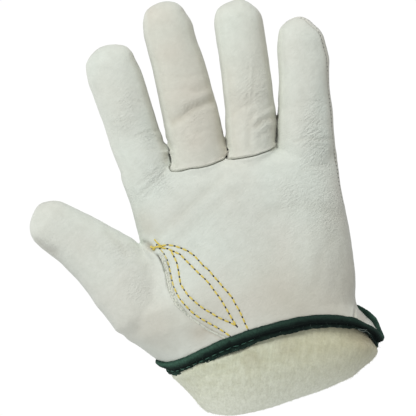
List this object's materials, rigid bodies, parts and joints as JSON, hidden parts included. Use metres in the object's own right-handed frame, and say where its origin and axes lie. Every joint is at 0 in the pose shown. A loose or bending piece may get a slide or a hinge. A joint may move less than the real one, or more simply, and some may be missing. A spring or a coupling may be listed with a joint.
{
  "type": "leather driver glove",
  "caption": "Left-hand leather driver glove lying palm up, with keystone thumb, set-in finger fronts, bound cuff and pile lining turned out of the open wrist.",
  "frame": {"origin": "centre of the footprint's box, on the surface that the glove lies on", "axes": "+X to the little finger side, +Y to the fingertips, +Z out of the palm"},
  "size_m": [0.1953, 0.2278, 0.0488],
  "materials": {
    "leather": "soft full-grain hide in a pale greenish cream with faint pink areas, low sheen, fine pebbled grain and light creases",
    "welt": "pale cream leather strip with a raw edge",
    "binding": "dark green matt tape with a rough woven face",
    "pile": "short cream pile, matt"
  },
  "bodies": {
    "root": {"palm_panel": "leather", "middle_front": "leather", "ring_front": "leather", "back_panel": "leather", "thumb": "leather", "thumb_welt": "welt", "cuff_binding": "binding", "fleece_lining": "pile"}
  },
  "joints": []
}
